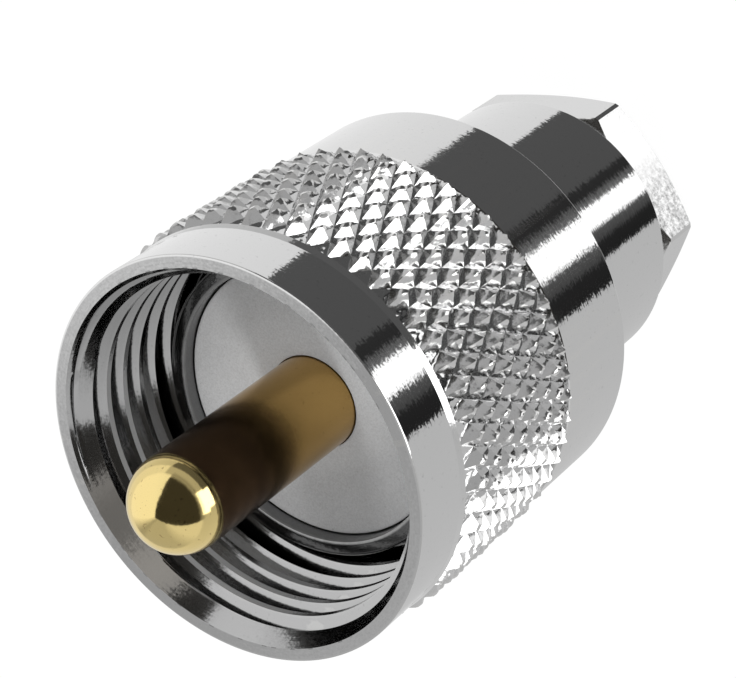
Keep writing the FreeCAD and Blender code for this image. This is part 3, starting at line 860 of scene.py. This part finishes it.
def make_bead_plastic():
    """White turned bead with faint tool rings and a little dust."""
    material, nodes, shader = new_material("bead_plastic")
    marks = use_group(nodes, turning_marks, Rings_per_mm=9.0, Lean_round=0.02, Lean_along=0.06, Grain=0.05)
    touched = use_group(nodes, handling, Smudge_size=420.0, Speck_size=6500.0)
    shade = nodes.mix(touched["Smudges"], BEAD_WHITE, BEAD_SMUDGED)
    shade = nodes.mix(nodes.math("MULTIPLY", touched["Specks"], BEAD_SPECK_SHARE), shade, BEAD_SPECK)
    sandy = nodes.noise(nodes.add("TexCoord").outputs["Object"], *SAND_NOISE)
    shade = nodes.mix(nodes.range(sandy, *SAND_SHOWS, *SAND_SHARES), shade, BEAD_SAND)
    nodes.feed(shader.inputs["Base Color"], shade)
    nodes.feed(shader.inputs["Roughness"], nodes.range(marks["Mask"], *GLOSS_SHOWS, *BEAD_GLOSS))
    nodes.feed(shader.inputs["Normal"], marks["Normal"])
    shader.inputs["Specular IOR Level"].default_value = BEAD_SPECULAR
    return material


RUBBER = (0.025, 0.025, 0.026, 1)
RUBBER_SPECK = (0.07, 0.07, 0.07, 1)
RUBBER_NOISE = (7000.0, 4.0, 0.7)
RUBBER_GLOSS = (0.55, 0.75)
RUBBER_GRAIN = 0.03


def make_gasket_rubber():
    """Black moulded rubber with a fine grain."""
    material, nodes, shader = new_material("gasket_rubber")
    touched = use_group(nodes, handling, Smudge_size=600.0, Speck_size=4000.0)
    place = nodes.add("TexCoord").outputs["Object"]
    grain = nodes.noise(place, *RUBBER_NOISE)
    shade = nodes.mix(touched["Specks"], RUBBER, RUBBER_SPECK)
    nodes.feed(shader.inputs["Base Color"], shade)
    nodes.feed(shader.inputs["Roughness"], nodes.range(grain, *GLOSS_SHOWS, *RUBBER_GLOSS))
    bump = nodes.add("Bump", Strength=0.25, Distance=RUBBER_GRAIN * MM, Height=grain)
    nodes.feed(shader.inputs["Normal"], bump.outputs[0])
    return material


MATERIALS["gold_plate"] = make_gold_plate()
MATERIALS["bead_plastic"] = make_bead_plastic()
MATERIALS["gasket_rubber"] = make_gasket_rubber()


# Pieces, and the CAD nodes that stay

# Each piece: how it is made, its finishes, its body, its slot and the CAD node that it stands for
PIECES = [
    (make_coupling_nut, ["nickel_sleeve", "nickel_bore_painted_shade", "nickel_knurled"], "nut", "nickel", "coupling_nut"),
    (make_plug_body, ["nickel_turned", "nickel_contact_painted_shade"], "plug", "nickel", "plug_body"),
    (make_clamp_nut, ["nickel_milled"], "plug", "nickel", "clamp_nut"),
    (make_center_pin, ["gold_plate"], "plug", "gold", "center_pin"),
    (make_front_insulator, ["bead_plastic"], "plug", "insulator", "front_insulator"),
]
for make_piece, finish_names, body_name, slot_name, stands_for in PIECES:
    dress(make_piece(), [MATERIALS[name] for name in finish_names], body_name, slot_name, stands_for)

KEPT_NODES = {
    "slip_washer": "nickel_hidden",
    "braid_clamp": "nickel_hidden",
    "clamp_gasket": "gasket_rubber",
    "rear_insulator": "bead_plastic",
    "retaining_ring": "spring_steel",
}
for node_name, finish_name in KEPT_NODES.items():
    node_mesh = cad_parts[node_name].data
    node_mesh.materials.clear()
    node_mesh.materials.append(MATERIALS[finish_name])


# Floor

# Half its width in metres
FLOOR_HALF = 1.2
FLOOR_WHITE = (0.9, 0.9, 0.9, 1)
FLOOR_ROUGHNESS = 0.9
# How much of the floor's own white the camera sees in place of its shading, and how strong that white is
PLAIN_SHARE = 0.9
PLAIN_STRENGTH = 1.06
WHITE = (1, 1, 1, 1)


def make_floor():
    """A plain white floor that fades into the white background."""
    bm = bmesh.new()
    bmesh.ops.create_grid(bm, x_segments=8, y_segments=8, size=FLOOR_HALF)
    mesh = bpy.data.meshes.new("floor")
    bm.to_mesh(mesh)
    bm.free()
    floor = bpy.data.objects.new("floor", mesh)
    bpy.context.scene.collection.objects.link(floor)
    material, nodes, shader = new_material("floor_white")
    shader.inputs["Base Color"].default_value = FLOOR_WHITE
    shader.inputs["Roughness"].default_value = FLOOR_ROUGHNESS
    shader.inputs["Specular IOR Level"].default_value = 0.0
    path = nodes.add("LightPath").outputs
    seen = nodes.math("MAXIMUM", path["Is Camera Ray"], path["Is Transmission Ray"])
    plain = nodes.add("Emission", Color=WHITE, Strength=PLAIN_STRENGTH).outputs[0]
    blend = nodes.mix_shaders(nodes.math("MULTIPLY", seen, PLAIN_SHARE), shader.outputs[0], plain)
    output = nodes.tree.nodes["Material Output"]
    nodes.feed(output.inputs["Surface"], blend)
    mesh.materials.append(material)
    floor.visible_glossy = False


make_floor()


# Studio

# What the bright metal mirrors: soft boxes, pale walls and dark cloths round the bench, in rows of height.
# Each row is a list of (compass angle in degrees, strength) from one end of the ramp to the other.
RAMP_START = -203.0
FULL_CIRCLE = 360
NADIR = [
    (-203, 0.52), (-150, 0.55), (-140, 1.0), (-105, 1.0), (-95, 0.85), (35, 0.85), (45, 0.55), (157, 0.52),
]
LOW_WALLS = [
    (-203, 0.74), (-185, 0.58), (-69.3, 0.55), (-68.7, 0.015), (-56, 0.02), (-54.5, 0.06), (-46.2, 0.1),
    (-45, 1.35), (-29.3, 1.35), (-28.6, 0.15), (-24, 0.11), (-22, 0.025), (-14, 0.03), (-13, 0.085),
    (46.3, 0.09), (47.2, 0.8), (140, 0.9), (157, 0.74),
]
HORIZON = [
    (-203, 0.7), (-150, 0.65), (-125, 0.6), (-70, 0.5), (-68, 2.4), (-33, 2.4), (-31, 0.09), (44, 0.11),
    (46, 0.5), (64, 0.55), (105, 0.65), (157, 0.7),
]
EYE_LEVEL = [
    (-203, 0.78), (-185, 0.7), (-77, 0.5), (-75, 2.4), (-31, 2.4), (-29, 0.40), (46, 0.44), (48, 0.8),
    (157, 0.78),
]
OVERHEAD = [
    (-203, 0.36), (-199, 0.38), (-195, 0.45), (-180, 0.45), (-150, 0.45), (-120, 0.7), (-60, 0.7), (0, 0.8),
    (60, 0.95), (140, 0.95), (149, 0.62), (153, 0.46), (157, 0.36),
]
# Rows above the lowest one: lower border in degrees of height, half width of its blur, whether it fans out
ROWS = [
    (-69.0, 2.0, True, LOW_WALLS), (-36.0, 2.0, False, HORIZON), (-13.0, 1.0, False, EYE_LEVEL),
    (6.0, 2.0, False, OVERHEAD),
]
# The low walls spread from this compass angle, by a share that changes between the two heights
FAN_MIDDLE = -20
FAN_HEIGHTS = (-65.0, -36.0)
FAN_SHARES = (1.25, 0.83)
# Dark cloth behind the camera: it fills the inner side of the left plane and of either other plane,
# each given by the direction that it faces, and fades in between the two heights
CLOTH_LEFT = (0.965, 0.100, 0.240)
CLOTH_RIGHT = (0.530, -0.842, 0.103)
CLOTH_TOP = (0.353, -0.899, 0.258)
CLOTH_BLUR = 0.02
CLOTH_HEIGHTS = (-3.0, 13.0)
CLOTH_TONE = (0.036, 0.034, 0.031, 1)
# Light for rays that aren't mirrored
SOFT_STRENGTH = 0.6


def place_stops(stops):
    return [((angle - RAMP_START) / FULL_CIRCLE, tone) for angle, tone in stops]


def make_world():
    """Glossy rays see the studio, the camera sees plain white, and the rest is soft even light."""
    world = bpy.data.worlds.new("studio")
    bpy.context.scene.world = world
    world.use_nodes = True
    tree = world.node_tree
    tree.nodes.clear()
    nodes = Nodes(tree)
    ray = nodes.add("TexCoord").outputs["Generated"]
    to_ramp_start = math.radians(-180 - RAMP_START)
    turned = nodes.add("VectorRotate", Vector=ray, Axis=(0.0, 0.0, 1.0), Angle=to_ramp_start)
    parts = nodes.add("SeparateXYZ", Vector=turned.outputs[0]).outputs
    angle = nodes.math("ARCTAN2", parts["Y"], parts["X"])
    share = nodes.math("MULTIPLY_ADD", angle, 1 / TURN, 0.5)
    height = nodes.math("MULTIPLY", nodes.math("ARCSINE", parts["Z"]), FULL_CIRCLE / TURN)
    fan = nodes.range(height, *FAN_HEIGHTS, *FAN_SHARES)
    middle = (FAN_MIDDLE - RAMP_START) / FULL_CIRCLE
    fanned = nodes.math("DIVIDE", nodes.math("SUBTRACT", share, middle), fan)
    fanned = nodes.math("ADD", fanned, middle, clamp=True)
    tent = nodes.ramp(share, place_stops(NADIR))
    for border, blur, fans_out, stops in ROWS:
        above = nodes.range(height, border - blur, border + blur)
        tent = nodes.mix(above, tent, nodes.ramp(fanned if fans_out else share, place_stops(stops)))
    left, right, top = (
        nodes.vector("DOT_PRODUCT", ray, plane) for plane in (CLOTH_LEFT, CLOTH_RIGHT, CLOTH_TOP)
    )
    inside = nodes.math("MINIMUM", left, nodes.math("MAXIMUM", right, top))
    covered = nodes.range(inside, -CLOTH_BLUR, CLOTH_BLUR)
    covered = nodes.math("MULTIPLY", covered, nodes.range(height, *CLOTH_HEIGHTS))
    tent = nodes.mix(covered, tent, CLOTH_TONE)
    path = nodes.add("LightPath").outputs
    shiny = nodes.add("Background", Color=tent, Strength=1.0).outputs[0]
    plain = nodes.add("Background", Color=WHITE, Strength=1.0).outputs[0]
    soft = nodes.add("Background", Color=WHITE, Strength=SOFT_STRENGTH).outputs[0]
    seen = nodes.math("MAXIMUM", path["Is Camera Ray"], path["Is Transmission Ray"])
    lit = nodes.mix_shaders(path["Is Glossy Ray"], soft, shiny)
    output = tree.nodes.new("ShaderNodeOutputWorld")
    nodes.feed(output.inputs["Surface"], nodes.mix_shaders(seen, lit, plain))


PART_MIDDLE = Vector((0, 0, 16))


def add_lamp(name, place, size, power):
    """A soft square lamp aimed at the middle of the part. Its place and size are in millimetres."""
    data = bpy.data.lights.new(name, "AREA")
    data.shape = "SQUARE"
    data.size = size * MM
    data.energy = power
    lamp = bpy.data.objects.new(name, data)
    bpy.context.scene.collection.objects.link(lamp)
    lamp.location = Vector(place) * MM
    aim = PART_MIDDLE * MM - lamp.location
    lamp.rotation_euler = aim.to_track_quat("-Z", "Y").to_euler()
    lamp.visible_glossy = False


make_world()
add_lamp("soft_box_left", (-250, -300, 400), 120, 0.6)
add_lamp("soft_box_right", (300, 250, 450), 150, 0.4)


# Camera at the photograph's angle

SENSOR_WIDTH = 36.0
LENS = 116.10
CLIP_START = 5
CAMERA_PLACE = Vector((60.667, -26.303, 90.055))
CAMERA_AHEAD = Vector((-0.61370, 0.27419, -0.74040))
CAMERA_UP = Vector((0.72886, 0.55726, -0.39777))


def add_camera():
    """The camera, square to its own up direction."""
    data = bpy.data.cameras.new("camera")
    data.sensor_fit = "HORIZONTAL"
    data.sensor_width = SENSOR_WIDTH
    data.lens = LENS
    data.clip_start = CLIP_START * MM
    camera = bpy.data.objects.new("camera", data)
    bpy.context.scene.collection.objects.link(camera)
    ahead = CAMERA_AHEAD.normalized()
    up = (CAMERA_UP - ahead * CAMERA_UP.dot(ahead)).normalized()
    across = ahead.cross(up)
    turned = Matrix((across, up, -ahead)).transposed().to_4x4()
    camera.matrix_world = Matrix.Translation(CAMERA_PLACE * MM) @ turned
    bpy.context.scene.camera = camera


add_camera()
bpy.context.scene.view_settings.view_transform = "Standard"
